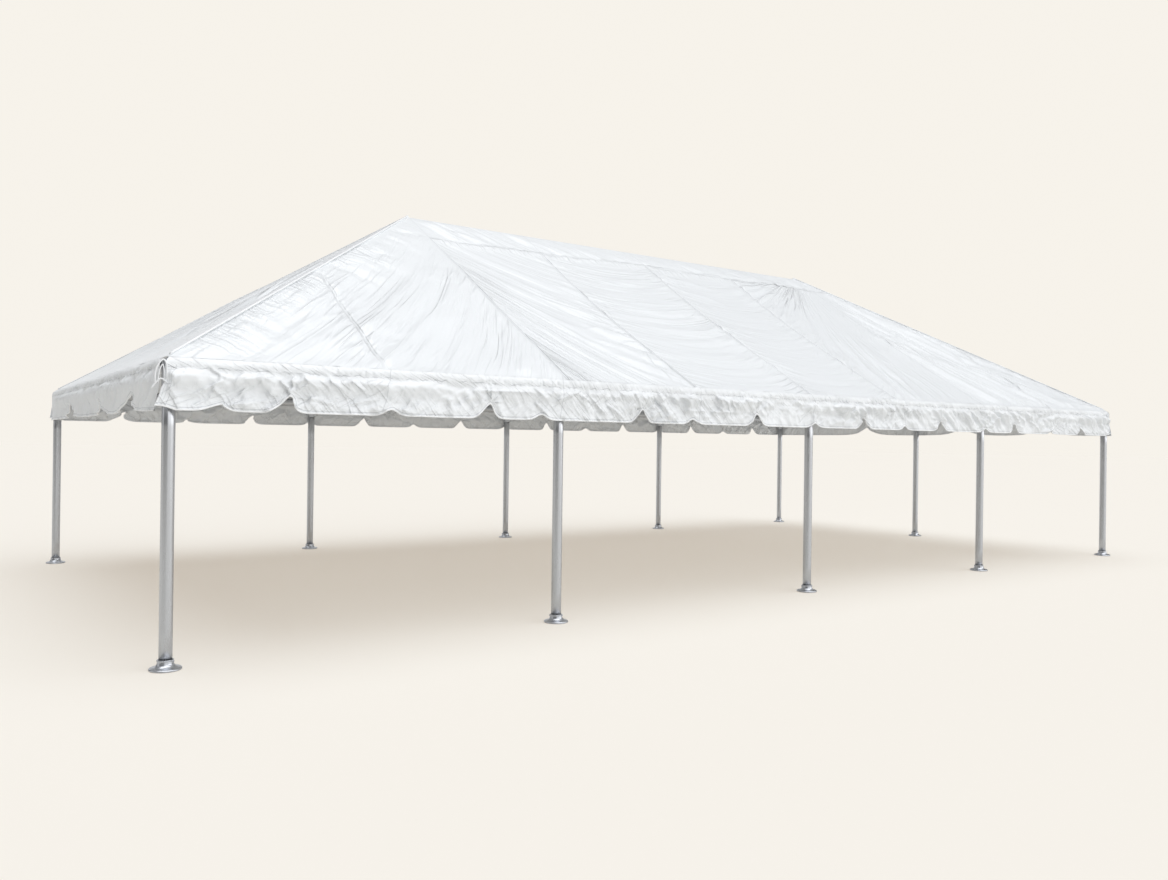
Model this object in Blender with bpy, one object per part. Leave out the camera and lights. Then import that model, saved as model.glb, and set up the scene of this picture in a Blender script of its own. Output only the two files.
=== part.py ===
# Marquee tent: an open-sided frame tent with a hip roof, 20 ft wide and 40 ft long.
# Aluminium tubes meet in welded fittings, a vinyl cover lies over them, a scalloped
# valance hangs from its edge all round, and each leg stands in a round cast foot.
# Metres. X runs along the tent, Y across it, Z up. The origin is on the ground under
# the middle of the roof. The front is the -Y side.

import math

import bmesh
import bpy
from mathutils import Matrix, Vector

# Driving dimensions of the cover
COVER_LENGTH = 12.192
COVER_WIDTH = 6.096
PEAK_HEIGHT = 3.91
EAVE_HEIGHT = 1.98
VALANCE_BOTTOM = 1.66
CLOTH_THICKNESS = 0.008

# Driving dimensions of the frame
BAYS = 4
TUBE_DIAMETER = 0.083
SLEEVE_WALL = 0.004
ARM_LENGTH = 0.18
ARM_STEP = 0.0004
TUBE_SIDES = 20

# Driving dimensions of the cast foot
FOOT_DIAMETER = 0.22
FOOT_HEIGHT = 0.062
FOOT_RIM = 0.011
FOOT_FLOOR = 0.020
HUB_WALL = 0.011
FLARE_STEPS = 4

# Scallops of the valance: a deep notch in the middle of each cloth panel and a
# shallow one at each seam between two panels
PANEL_WIDTH = 1.524
DEEP_NOTCH = 0.115
SHALLOW_NOTCH = 0.045
NOTCH_REACH = 0.063
NOTCH_SHARPNESS = 1.8
NOTCH_STEPS = 4
END_NOTCHES = (0.27, 0.575, 0.844)

# Touching pieces keep this gap
GAP = 0.0003

# Sizes that follow
RUN = COVER_WIDTH / 2
APEX_X = COVER_LENGTH / 2 - RUN
PITCH = math.atan2(PEAK_HEIGHT - EAVE_HEIGHT, RUN)
TUBE_RADIUS = TUBE_DIAMETER / 2
SLEEVE_RADIUS = TUBE_RADIUS + SLEEVE_WALL
INSET = SLEEVE_RADIUS + GAP + CLOTH_THICKNESS
AXIS_DROP = INSET / math.cos(PITCH)
RAIL_X = COVER_LENGTH / 2 - INSET
RAIL_Y = COVER_WIDTH / 2 - INSET
RAIL_Z = EAVE_HEIGHT + math.tan(PITCH) * INSET - AXIS_DROP
RIDGE_Z = PEAK_HEIGHT - AXIS_DROP
CLOTH_DROP = CLOTH_THICKNESS / math.cos(PITCH)
BAY = COVER_LENGTH / BAYS


def clear_scene():
    for thing in list(bpy.data.objects):
        bpy.data.objects.remove(thing, do_unlink=True)


def new_material(name, colour, metallic, roughness):
    material = bpy.data.materials.new(name)
    material.use_nodes = True
    shader = material.node_tree.nodes["Principled BSDF"]
    shader.inputs["Base Color"].default_value = (*colour, 1.0)
    shader.inputs["Metallic"].default_value = metallic
    shader.inputs["Roughness"].default_value = roughness
    return material


def mesh_of(shape, name):
    bmesh.ops.recalc_face_normals(shape, faces=shape.faces)
    mesh = bpy.data.meshes.new(name)
    shape.to_mesh(mesh)
    shape.free()
    return mesh


def add_piece(name, mesh, material, location=(0, 0, 0), turn=0.0):
    mesh.materials.clear()
    mesh.materials.append(material)
    piece = bpy.data.objects.new(name, mesh)
    piece.location = location
    piece.rotation_euler = (0, 0, turn)
    bpy.context.collection.objects.link(piece)
    return piece


def shade_round(mesh):
    mesh.shade_smooth()
    mesh.set_sharp_from_angle(angle=math.radians(40))


# Tubes: plain round poles between two points on the frame's centre lines

def tube_mesh(start, end, radius, name):
    start = Vector(start)
    along = Vector(end) - start
    shape = bmesh.new()
    bmesh.ops.create_cone(
        shape, cap_ends=True, segments=TUBE_SIDES, radius1=radius, radius2=radius,
        depth=along.length)
    turn = along.to_track_quat("Z", "Y").to_matrix().to_4x4()
    place = Matrix.Translation(start + along / 2) @ turn
    bmesh.ops.transform(shape, matrix=place, verts=shape.verts)
    return mesh_of(shape, name)


def add_tube(name, start, end, material):
    mesh = tube_mesh(start, end, TUBE_RADIUS, name)
    shade_round(mesh)
    return add_piece(name, mesh, material)


def toward(start, end, distance):
    start = Vector(start)
    return start + (Vector(end) - start).normalized() * distance


# Fittings: tubes and sleeves welded into one body

def add_welded(name, shells, material):
    body = add_piece(name, shells[0], material)
    arms = []
    for shell in shells[1:]:
        arm = bpy.data.objects.new(name + "_arm", shell)
        bpy.context.collection.objects.link(arm)
        weld = body.modifiers.new("weld", "BOOLEAN")
        weld.operation = "UNION"
        weld.object = arm
        arms.append(arm)
    graph = bpy.context.evaluated_depsgraph_get()
    mesh = bpy.data.meshes.new_from_object(body.evaluated_get(graph))
    body.modifiers.clear()
    body.data = mesh
    for arm in arms:
        bpy.data.objects.remove(arm, do_unlink=True)
    shade_round(mesh)
    return body


def hub_arms(centre, targets, name, back=0.0, first=0):
    # Each arm is a little slimmer and starts a little further back than the one
    # before, so that no two skins lie in the same plane where they cross
    arms = []
    for index, target in enumerate(targets, start=first):
        near = toward(centre, target, -back - ARM_STEP * index)
        far = toward(centre, target, ARM_LENGTH)
        arms.append(tube_mesh(near, far, SLEEVE_RADIUS - ARM_STEP * index, name))
    return arms


# Places on the centre lines of the frame

def corner_point(side_x, side_y):
    return Vector((side_x * RAIL_X, side_y * RAIL_Y, RAIL_Z))


def crown_point(side_x):
    return Vector((side_x * APEX_X, 0, RIDGE_Z))


def under(point, drop):
    return Vector(point) - Vector((0, 0, drop))


INNER_LEGS = [BAY * step - COVER_LENGTH / 2 for step in range(1, BAYS)]
FRONT_LEGS = [-RAIL_X] + INNER_LEGS + [RAIL_X]
SIDES = {"front": -1, "back": 1}
ENDS = {"left": -1, "right": 1}


# Legs and feet

def foot_mesh():
    rim = FOOT_DIAMETER / 2
    hub = TUBE_RADIUS + HUB_WALL
    socket = TUBE_RADIUS + GAP
    flare_low = FOOT_RIM + 0.003
    flare_high = FOOT_HEIGHT * 0.72
    flare_start = rim - 0.012
    profile = [(0, 0), (rim, 0), (rim, FOOT_RIM), (flare_start, flare_low)]
    for step in range(1, FLARE_STEPS):
        angle = math.radians(90) * step / FLARE_STEPS
        radius = flare_start - (flare_start - hub) * math.sin(angle)
        height = flare_low + (flare_high - flare_low) * (1 - math.cos(angle))
        profile.append((radius, height))
    profile += [
        (hub, flare_high), (hub + 0.004, FOOT_HEIGHT - 0.010), (hub + 0.004, FOOT_HEIGHT - 0.003),
        (hub, FOOT_HEIGHT), (socket, FOOT_HEIGHT), (socket, FOOT_FLOOR), (0, FOOT_FLOOR)]
    shape = bmesh.new()
    points = [shape.verts.new((radius, 0, height)) for radius, height in profile]
    edges = [shape.edges.new(pair) for pair in zip(points, points[1:])]
    bmesh.ops.spin(
        shape, geom=points + edges, cent=(0, 0, 0), axis=(0, 0, 1), angle=math.radians(360),
        steps=TUBE_SIDES, use_merge=True)
    bmesh.ops.remove_doubles(shape, verts=shape.verts, dist=0.00001)
    return mesh_of(shape, "foot")


def add_leg(name, x, y, aluminium, cast):
    foot = foot_mesh()
    shade_round(foot)
    add_piece("foot_" + name, foot, cast, location=(x, y, 0))
    bottom = (x, y, FOOT_FLOOR + GAP)
    top = (x, y, RAIL_Z - ARM_LENGTH - GAP)
    add_tube("leg_" + name, bottom, top, aluminium)


def add_legs(aluminium, cast):
    for side, sign in SIDES.items():
        for number, x in enumerate(FRONT_LEGS, start=1):
            add_leg(f"{side}_{number}", x, sign * RAIL_Y, aluminium, cast)
    add_leg("right_middle", RAIL_X, 0, aluminium, cast)


# Eave rails: one long rail on each side with its tee fittings

def add_rail(name, start, end, tees, material):
    near = toward(start, end, ARM_LENGTH + GAP)
    far = toward(end, start, ARM_LENGTH + GAP)
    shells = [tube_mesh(near, far, TUBE_RADIUS, name)]
    for point, peak, has_leg in tees:
        collar_start = toward(point, start, ARM_LENGTH)
        collar_end = toward(point, end, ARM_LENGTH)
        shells.append(tube_mesh(collar_start, collar_end, SLEEVE_RADIUS, name))
        targets = [peak, under(point, 1)] if has_leg else [peak]
        shells += hub_arms(point, targets, name, first=1)
    add_welded(name, shells, material)


def add_rails(aluminium):
    for side, sign in SIDES.items():
        tees = []
        for x in INNER_LEGS:
            tees.append((Vector((x, sign * RAIL_Y, RAIL_Z)), Vector((x, 0, RIDGE_Z)), True))
        start = corner_point(-1, sign)
        end = corner_point(1, sign)
        add_rail("eave_rail_" + side, start, end, tees, aluminium)
    for end_name, sign in ENDS.items():
        middle = Vector((sign * RAIL_X, 0, RAIL_Z))
        tees = [(middle, crown_point(sign), end_name == "right")]
        start = corner_point(sign, -1)
        end = corner_point(sign, 1)
        add_rail("eave_rail_" + end_name, start, end, tees, aluminium)


# Corner fittings: two rails, a leg and a hip rafter meet

def add_corners(aluminium):
    stub = SLEEVE_RADIUS * 0.2
    for side, side_sign in SIDES.items():
        for end_name, end_sign in ENDS.items():
            name = f"corner_fitting_{side}_{end_name}"
            here = corner_point(end_sign, side_sign)
            targets = [
                corner_point(-end_sign, side_sign), corner_point(end_sign, -side_sign),
                under(here, 1), crown_point(end_sign)]
            add_welded(name, hub_arms(here, targets, name, back=stub), aluminium)


# Ridge: one beam with its middle fitting, and a crown at each apex

def add_ridge(aluminium):
    reach = APEX_X - ARM_LENGTH - GAP
    name = "ridge_beam"
    shells = [
        tube_mesh((-reach, 0, RIDGE_Z), (reach, 0, RIDGE_Z), TUBE_RADIUS, name),
        tube_mesh((-ARM_LENGTH, 0, RIDGE_Z), (ARM_LENGTH, 0, RIDGE_Z), SLEEVE_RADIUS, name)]
    eaves = [(0, sign * RAIL_Y, RAIL_Z) for sign in SIDES.values()]
    shells += hub_arms((0, 0, RIDGE_Z), eaves, name, first=1)
    add_welded(name, shells, aluminium)
    for end_name, sign in ENDS.items():
        name = "crown_" + end_name
        targets = [crown_point(-sign), (sign * RAIL_X, 0, RAIL_Z)]
        for side_sign in SIDES.values():
            targets.append((sign * APEX_X, side_sign * RAIL_Y, RAIL_Z))
            targets.append(corner_point(sign, side_sign))
        add_welded(name, hub_arms(crown_point(sign), targets, name), aluminium)


# Rafters: from the eave fittings up to the ridge and the crowns

def add_rafter(name, low, high, material):
    start = toward(low, high, ARM_LENGTH + GAP)
    end = toward(high, low, ARM_LENGTH + GAP)
    add_tube(name, start, end, material)


def add_rafters(aluminium):
    for side, sign in SIDES.items():
        for number, x in enumerate(INNER_LEGS, start=2):
            low = Vector((x, sign * RAIL_Y, RAIL_Z))
            add_rafter(f"rafter_{side}_{number}", low, Vector((x, 0, RIDGE_Z)), aluminium)
        for end_name, end_sign in ENDS.items():
            low = corner_point(end_sign, sign)
            add_rafter(f"hip_rafter_{side}_{end_name}", low, crown_point(end_sign), aluminium)
    for end_name, sign in ENDS.items():
        low = Vector((sign * RAIL_X, 0, RAIL_Z))
        add_rafter("end_rafter_" + end_name, low, crown_point(sign), aluminium)


# Cover: four flat slopes that meet on the hips and the ridge

def add_slope(name, plan, material):
    shape = bmesh.new()
    corners = []
    for x, y in plan:
        fall = math.tan(PITCH) * max(abs(y), abs(x) - APEX_X)
        corners.append(shape.verts.new((x, y, PEAK_HEIGHT - fall)))
    face = shape.faces.new(corners)
    grown = bmesh.ops.extrude_face_region(shape, geom=[face])
    lower = [item for item in grown["geom"] if isinstance(item, bmesh.types.BMVert)]
    bmesh.ops.translate(shape, verts=lower, vec=(0, 0, -CLOTH_DROP))
    add_piece(name, mesh_of(shape, name), material)


def add_slopes(vinyl):
    half = COVER_LENGTH / 2
    for side, sign in SIDES.items():
        plan = [
            (-half + GAP, sign * RUN), (half - GAP, sign * RUN),
            (APEX_X - GAP, sign * GAP), (-APEX_X + GAP, sign * GAP)]
        add_slope("roof_" + side, plan, vinyl)
    for end_name, sign in ENDS.items():
        plan = [
            (sign * half, -RUN + GAP), (sign * half, RUN - GAP),
            (sign * (APEX_X + GAP), 0)]
        add_slope(f"roof_{end_name}_end", plan, vinyl)


# Valance: a hanging strip with bell-shaped notches in its lower edge

def notch_points(centre, depth):
    points = []
    for step in range(-NOTCH_STEPS, NOTCH_STEPS + 1):
        away = 2.1 * NOTCH_REACH * math.sin(math.radians(90) * step / NOTCH_STEPS)
        rise = depth * math.exp(-(abs(away) / NOTCH_REACH) ** NOTCH_SHARPNESS)
        if abs(step) == NOTCH_STEPS:
            rise = 0
        points.append((centre + away, VALANCE_BOTTOM + rise))
    return points


def valance_mesh(length, notches, name):
    top = EAVE_HEIGHT - CLOTH_DROP - GAP
    outline = [(-length / 2, top), (-length / 2, VALANCE_BOTTOM)]
    for centre, depth in notches:
        outline += notch_points(centre, depth)
    outline += [(length / 2, VALANCE_BOTTOM), (length / 2, top)]
    shape = bmesh.new()
    face = shape.faces.new([shape.verts.new((x, 0, z)) for x, z in outline])
    grown = bmesh.ops.extrude_face_region(shape, geom=[face])
    inner = [item for item in grown["geom"] if isinstance(item, bmesh.types.BMVert)]
    bmesh.ops.translate(shape, verts=inner, vec=(0, CLOTH_THICKNESS, 0))
    return mesh_of(shape, name)


def add_valances(vinyl):
    panels = round(COVER_LENGTH / PANEL_WIDTH)
    notches = []
    for panel in range(panels):
        start = PANEL_WIDTH * panel - COVER_LENGTH / 2
        if panel:
            notches.append((start, SHALLOW_NOTCH))
        notches.append((start + PANEL_WIDTH / 2, DEEP_NOTCH))
    for side, sign in SIDES.items():
        name = "valance_" + side
        turn = 0 if sign < 0 else math.pi
        mesh = valance_mesh(COVER_LENGTH, notches, name)
        add_piece(name, mesh, vinyl, location=(0, sign * COVER_WIDTH / 2, 0), turn=turn)
    length = COVER_WIDTH - 2 * (CLOTH_THICKNESS + GAP)
    for end_name, sign in ENDS.items():
        name = "valance_" + end_name
        notches = [(sign * (share - 0.5) * COVER_WIDTH, DEEP_NOTCH) for share in END_NOTCHES]
        notches.sort()
        mesh = valance_mesh(length, notches, name)
        turn = sign * math.pi / 2
        add_piece(name, mesh, vinyl, location=(sign * COVER_LENGTH / 2, 0, 0), turn=turn)


clear_scene()
satin_tube = new_material("satin_tube", (0.72, 0.73, 0.74), 1.0, 0.32)
cast_foot = new_material("cast_foot", (0.74, 0.75, 0.76), 1.0, 0.22)
white_vinyl = new_material("white_vinyl", (0.90, 0.91, 0.93), 0.0, 0.45)
add_legs(satin_tube, cast_foot)
add_rails(satin_tube)
add_corners(satin_tube)
add_ridge(satin_tube)
add_rafters(satin_tube)
add_slopes(white_vinyl)
add_valances(white_vinyl)
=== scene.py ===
# Looks of the marquee tent: white vinyl over an aluminium frame, in metres, X along the tent,
# Y across it and Z up. The near long side, which the camera sees, is the -Y side.

import math

import bmesh
import bpy
import numpy as np
from mathutils import Matrix, Vector


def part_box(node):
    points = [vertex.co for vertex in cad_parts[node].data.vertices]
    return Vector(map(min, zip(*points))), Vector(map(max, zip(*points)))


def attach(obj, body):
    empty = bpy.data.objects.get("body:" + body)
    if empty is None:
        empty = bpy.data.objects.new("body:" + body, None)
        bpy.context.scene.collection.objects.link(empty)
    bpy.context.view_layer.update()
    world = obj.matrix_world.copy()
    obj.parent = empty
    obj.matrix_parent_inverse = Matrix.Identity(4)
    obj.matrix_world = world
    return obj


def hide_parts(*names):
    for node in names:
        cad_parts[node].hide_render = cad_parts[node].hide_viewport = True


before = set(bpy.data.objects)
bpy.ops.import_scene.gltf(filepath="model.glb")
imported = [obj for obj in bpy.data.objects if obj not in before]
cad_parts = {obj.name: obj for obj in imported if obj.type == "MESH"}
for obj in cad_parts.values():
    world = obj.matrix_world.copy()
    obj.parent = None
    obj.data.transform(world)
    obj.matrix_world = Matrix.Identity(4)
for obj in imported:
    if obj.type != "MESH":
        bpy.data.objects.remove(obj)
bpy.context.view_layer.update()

# Camera
# It stands off the near front corner at eye height and looks along the tent. Its place,
# turn and lens were fitted to the feet, the eave and the two peaks in the photograph.
CAMERA_PLACE = Vector((-7.328, -9.398, 1.494))
CAMERA_YAW = math.radians(35.335)
CAMERA_PITCH = math.radians(0.061)
CAMERA_ROLL = math.radians(0.727)
LENS = 28.80
SENSOR = 36.0
VIEW_REACH = 400

ahead = Vector((
    math.sin(CAMERA_YAW) * math.cos(CAMERA_PITCH),
    math.cos(CAMERA_YAW) * math.cos(CAMERA_PITCH), math.sin(CAMERA_PITCH)))
level_right = Vector((math.cos(CAMERA_YAW), -math.sin(CAMERA_YAW), 0))
level_up = level_right.cross(ahead)
right = level_right * math.cos(CAMERA_ROLL) + level_up * math.sin(CAMERA_ROLL)
up = right.cross(ahead)
lens = bpy.data.cameras.new("camera")
lens.lens = LENS
lens.sensor_width = SENSOR
lens.clip_end = VIEW_REACH
camera = bpy.data.objects.new("camera", lens)
turn_to_view = Matrix((right, up, -ahead)).transposed().to_4x4()
camera.matrix_world = Matrix.Translation(CAMERA_PLACE) @ turn_to_view
bpy.context.collection.objects.link(camera)
bpy.context.scene.camera = camera
bpy.context.scene.view_settings.view_transform = "Standard"

# Studio
# A pale warm floor that runs into a backdrop of the same tone, a wide soft light overhead and a
# little to the front, an even sky round about, and a soft box on each side of the tent.
BACKDROP = (0.929, 0.893, 0.828)
FLOOR_GLOW = (0.416, 0.350, 0.280)
FLOOR_TINT = (0.480, 0.508, 0.515)
FLOOR_BOUNCE = 0.62
FLOOR_SIZE = 150
SKY_HEIGHTS = (-0.05, 0.80)
SKY_LEVELS = (0.06, 0.32)
# The way each soft box stands, its half width, lower and upper edge in degrees, and its level
SOFT_BOXES = (
    ((0.17, -0.985, 0.0), 30, 0, 50, 1.12),
    ((0.85, -0.52, 0.0), 22, 0, 35, 1.75),
    ((-0.904, 0.427, 0.0), 17, -5, 35, 0.56),
    ((0.22, 0.975, 0.0), 32, -5, 28, 0.75))
SIDE_BLUR = 0.25
LOWER_BLUR = 0.12
UPPER_BLUR = 0.15
KEY_STRENGTH = 1.79
KEY_SIZE = math.radians(70)
KEY_FROM = Vector((0.02, -0.10, 0.99))


def add_node(tree, kind, inputs, **settings):
    """Adds a node. Each input is a plain value, or another node's socket to link to it."""
    node = tree.nodes.new("ShaderNode" + kind)
    for key, value in settings.items():
        setattr(node, key, value)
    for key, value in inputs.items():
        if isinstance(value, bpy.types.NodeSocket):
            tree.links.new(value, node.inputs[key])
        else:
            node.inputs[key].default_value = value
    return node


def add_math(tree, operation, *values):
    return add_node(tree, "Math", dict(enumerate(values)), operation=operation).outputs["Value"]


def add_range(tree, value, low, high, to_low=0.0, to_high=1.0, kind="SMOOTHSTEP"):
    """A step from to_low to to_high while the value goes from low to high."""
    inputs = {"Value": value, "From Min": low, "From Max": high, "To Min": to_low, "To Max": to_high}
    return add_node(tree, "MapRange", inputs, interpolation_type=kind).outputs["Result"]


def new_finish(name, colour, roughness, metallic=0.0):
    """A material with plain values, its node tree and its shader."""
    finish = bpy.data.materials.new(name)
    finish.use_nodes = True
    shader = finish.node_tree.nodes["Principled BSDF"]
    shader.inputs["Base Color"].default_value = (*colour, 1)
    shader.inputs["Roughness"].default_value = roughness
    shader.inputs["Metallic"].default_value = metallic
    return finish, finish.node_tree, shader


def mesh_of(name, shape):
    mesh = bpy.data.meshes.new(name)
    shape.to_mesh(mesh)
    shape.free()
    return mesh


shape = bmesh.new()
bmesh.ops.create_grid(shape, x_segments=2, y_segments=2, size=FLOOR_SIZE)
floor = bpy.data.objects.new("floor", mesh_of("floor", shape))
bpy.context.collection.objects.link(floor)
paper, tree, shader = new_finish("studio_floor", FLOOR_TINT, 0.9)
shader.inputs["Specular IOR Level"].default_value = 0.0
shader.inputs["Emission Color"].default_value = (*FLOOR_GLOW, 1)
from_camera = add_node(tree, "LightPath", {}).outputs["Is Camera Ray"]
glow = add_range(tree, from_camera, 0, 1, FLOOR_BOUNCE, 1, "LINEAR")
tree.links.new(glow, shader.inputs["Emission Strength"])
floor.data.materials.append(paper)

world = bpy.data.worlds.new("studio")
bpy.context.scene.world = world
world.use_nodes = True
tree = world.node_tree
around = add_node(tree, "TexCoord", {}).outputs["Generated"]
upward = add_node(tree, "SeparateXYZ", {"Vector": around}).outputs["Z"]
flat_way = add_node(tree, "VectorMath", {0: around, 1: (1, 1, 0)}, operation="MULTIPLY")
flat_way = add_node(tree, "VectorMath", {0: flat_way.outputs["Vector"]}, operation="NORMALIZE")
total = add_range(tree, upward, *SKY_HEIGHTS, *SKY_LEVELS)
for way, half_width, lower_edge, upper_edge, level in SOFT_BOXES:
    facing = add_node(tree, "VectorMath", {0: flat_way.outputs["Vector"], 1: way}, operation="DOT_PRODUCT")
    wide = math.radians(half_width)
    lower = math.radians(lower_edge)
    upper = math.radians(upper_edge)
    window = add_range(
        tree, facing.outputs["Value"], math.cos(wide * (1 + SIDE_BLUR)), math.cos(wide * (1 - SIDE_BLUR)))
    bottom = add_range(tree, upward, math.sin(lower - LOWER_BLUR), math.sin(lower + LOWER_BLUR), 0.0, level)
    top = add_range(tree, upward, math.sin(upper + UPPER_BLUR), math.sin(upper - UPPER_BLUR))
    total = add_math(tree, "MULTIPLY_ADD", add_math(tree, "MULTIPLY", bottom, top), window, total)
sky = tree.nodes["Background"]
sky.inputs["Color"].default_value = (1.0, 1.0, 1.0, 1)
tree.links.new(total, sky.inputs["Strength"])
seen = add_node(tree, "Background", {"Color": (*BACKDROP, 1)})
from_camera = add_node(tree, "LightPath", {}).outputs["Is Camera Ray"]
choice = add_node(
    tree, "MixShader", {"Fac": from_camera, 1: sky.outputs["Background"], 2: seen.outputs["Background"]})
tree.links.new(choice.outputs["Shader"], tree.nodes["World Output"].inputs["Surface"])

key = bpy.data.lights.new("key", "SUN")
key.energy = KEY_STRENGTH
key.angle = KEY_SIZE
key_lamp = bpy.data.objects.new("key", key)
key_lamp.rotation_euler = KEY_FROM.to_track_quat("Z", "Y").to_euler()
bpy.context.collection.objects.link(key_lamp)

# Frame tubes and fittings
# Rails, rafters and ridge beam are drawn aluminium tubes with a satin finish, pinned into fittings
# of the same metal. Their solids come with the frame and only get their finish here.
DRAWN_ALUMINIUM = (0.60, 0.612, 0.635)
DRAWN_GRAIN = (160, 160, 5)
SATIN = (0.20, 0.40)

metal, tree, shader = new_finish("satin_aluminium", DRAWN_ALUMINIUM, 0.30, 1.0)
place_on = add_node(tree, "TexCoord", {}).outputs["Object"]
along_tube = add_node(tree, "Mapping", {"Vector": place_on, "Scale": DRAWN_GRAIN})
grain = add_node(tree, "TexNoise", {"Vector": along_tube.outputs["Vector"], "Scale": 1.0, "Detail": 3})
sheen = add_range(tree, grain.outputs["Fac"], 0, 1, *SATIN, "LINEAR")
tree.links.new(sheen, shader.inputs["Roughness"])
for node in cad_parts.values():
    node.data.materials.clear()
    node.data.materials.append(metal)

# Feet
# A cast and polished base plate under each leg: a round rim, a bell-shaped flare and a hub with
# a rolled collar, whose socket takes the leg. Two screws in the hub hold it.
RIM = [
    (0.0, 0.0), (0.0930, 0.0), (0.0975, 0.0012), (0.1000, 0.0045), (0.1006, 0.0080),
    (0.0992, 0.0118), (0.0955, 0.0150)]
FLARE_FOOT = (0.0910, 0.0168)
FLARE_TOP = (0.0510, 0.0480)
FLARE_STEPS = 14
COLLAR = [
    (0.0500, 0.0530), (0.0494, 0.0590), (0.0500, 0.0612), (0.0512, 0.0628), (0.0514, 0.0648),
    (0.0502, 0.0664), (0.0470, 0.0672), (0.0430, 0.0668), (0.0425, 0.0640), (0.0425, 0.0300), (0.0, 0.0300)]
ROUND_STEPS = 64
SCREW_TURN = math.radians(-35)
SCREW_OUT = 0.0515
SCREW_HEIGHT = 0.0560
SCREW_RADII = (0.0065, 0.0052)
SCREW_LENGTH = 0.0100
SCREW_CHAMFER = 0.0008
CAST_ALUMINIUM = (0.57, 0.59, 0.63)
PIT_SCALE = 60
PIT_DEPTH = 0.0012


def add_piece(name, mesh, material, smooth=True):
    """Makes a finished mesh a piece of the tent, held by the frame."""
    if smooth:
        mesh.polygons.foreach_set("use_smooth", [True] * len(mesh.polygons))
    mesh.materials.append(material)
    piece = bpy.data.objects.new(name, mesh)
    bpy.context.collection.objects.link(piece)
    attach(piece, "root")
    return piece


def turn_on_lathe(name, profile, x, y, material):
    """Spins a profile of radius and height about an upright axis at x, y."""
    shape = bmesh.new()
    ring = [shape.verts.new((r, 0, z)) for r, z in profile]
    edges = [shape.edges.new(pair) for pair in zip(ring, ring[1:])]
    bmesh.ops.spin(
        shape, geom=ring + edges, cent=(0, 0, 0), axis=(0, 0, 1), angle=math.tau, steps=ROUND_STEPS,
        use_merge=True)
    bmesh.ops.remove_doubles(shape, verts=shape.verts, dist=1e-5)
    bmesh.ops.recalc_face_normals(shape, faces=shape.faces)
    bmesh.ops.translate(shape, verts=shape.verts, vec=(x, y, 0))
    return add_piece(name, mesh_of(name, shape), material)


cast, tree, shader = new_finish("cast_aluminium", CAST_ALUMINIUM, 0.30, 1.0)
place_on = add_node(tree, "TexCoord", {}).outputs["Object"]
pits = add_node(tree, "TexNoise", {"Vector": place_on, "Scale": PIT_SCALE, "Detail": 3})
pitted = add_node(tree, "Bump", {"Strength": 0.5, "Distance": PIT_DEPTH, "Height": pits.outputs["Fac"]})
tree.links.new(pitted.outputs["Normal"], shader.inputs["Normal"])

flare = []
for step in range(FLARE_STEPS + 1):
    bend = step / FLARE_STEPS * math.pi / 2
    flare.append((
        FLARE_FOOT[0] - (FLARE_FOOT[0] - FLARE_TOP[0]) * math.sin(bend),
        FLARE_FOOT[1] + (FLARE_TOP[1] - FLARE_FOOT[1]) * (1 - math.cos(bend))))
for name in sorted(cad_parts):
    if not name.startswith("foot_"):
        continue
    low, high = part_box(name)
    x, y = (low[0] + high[0]) / 2, (low[1] + high[1]) / 2
    foot = turn_on_lathe(name + "_cast", RIM + flare + COLLAR, x, y, cast)
    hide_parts(name)
    shape = bmesh.new()
    for turn in (SCREW_TURN, SCREW_TURN + math.pi):
        out_from_leg = Vector((math.cos(turn), math.sin(turn), 0)) * SCREW_OUT
        spot = Matrix.Translation(Vector((x, y, SCREW_HEIGHT)) + out_from_leg)
        spot = spot @ Matrix.Rotation(turn, 4, "Z") @ Matrix.Rotation(math.pi / 2, 4, "Y")
        bmesh.ops.create_cone(
            shape, cap_ends=True, segments=16, radius1=SCREW_RADII[0], radius2=SCREW_RADII[1],
            depth=SCREW_LENGTH, matrix=spot)
    bmesh.ops.bevel(
        shape, geom=shape.edges[:], offset=SCREW_CHAMFER, segments=1, profile=0.5, affect="EDGES",
        material=-1)
    add_piece(name + "_screws", mesh_of(name + "_screws", shape), cast, smooth=False)

# Legs
# Plain round tubes of drawn aluminium. Each stands in the socket of its foot and goes up into a
# fitting of the eave rail.
LEG_RADIUS = 0.0415
LEG_EDGE = 0.003
LEG_RINGS = 8

for name in sorted(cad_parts):
    if name.startswith("leg_"):
        low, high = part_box(name)
        tube = [(LEG_RADIUS, low[2] + (high[2] - low[2]) * k / LEG_RINGS) for k in range(LEG_RINGS + 1)]
        tube = [(LEG_RADIUS - LEG_EDGE, low[2])] + tube + [(LEG_RADIUS - LEG_EDGE, high[2])]
        x, y = (low[0] + high[0]) / 2, (low[1] + high[1]) / 2
        leg = turn_on_lathe(name + "_tube", tube, x, y, metal)
        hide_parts(name)

# Cover
# One sheet of white vinyl, welded from panels 1.5 m wide that run over the ridge from eave to
# eave. It is pulled down over the frame and strapped under the eave, so it lies tight on the
# tubes and in long soft folds between them.
APEX = 3.048
HALF_LENGTH = 6.096
HALF_WIDTH = 3.048
PEAK = 3.910
EAVE = 1.980
FALL = (PEAK - EAVE) / HALF_WIDTH
COS = 1 / math.hypot(1, FALL)
PANEL = 1.524
CORNERS = ((-1, -1, "front_left"), (-1, 1, "back_left"), (1, -1, "front_right"), (1, 1, "back_right"))
CELLS = 52
SEAM_ROWS = (0.0, 0.006, 0.012, 0.020)
SEAM_RISE = (0.0018, 0.0018, 0.0003, 0.0)
SEAM_EDGE = 0.009
COVER_MARGIN = 0.030
RIDGE_ROUNDING = 0.020
SAG = 0.020
SAG_REACH = 0.4
FOLD_GAIN = 1.4
LONG_FOLD_GAIN = 1.5
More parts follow.
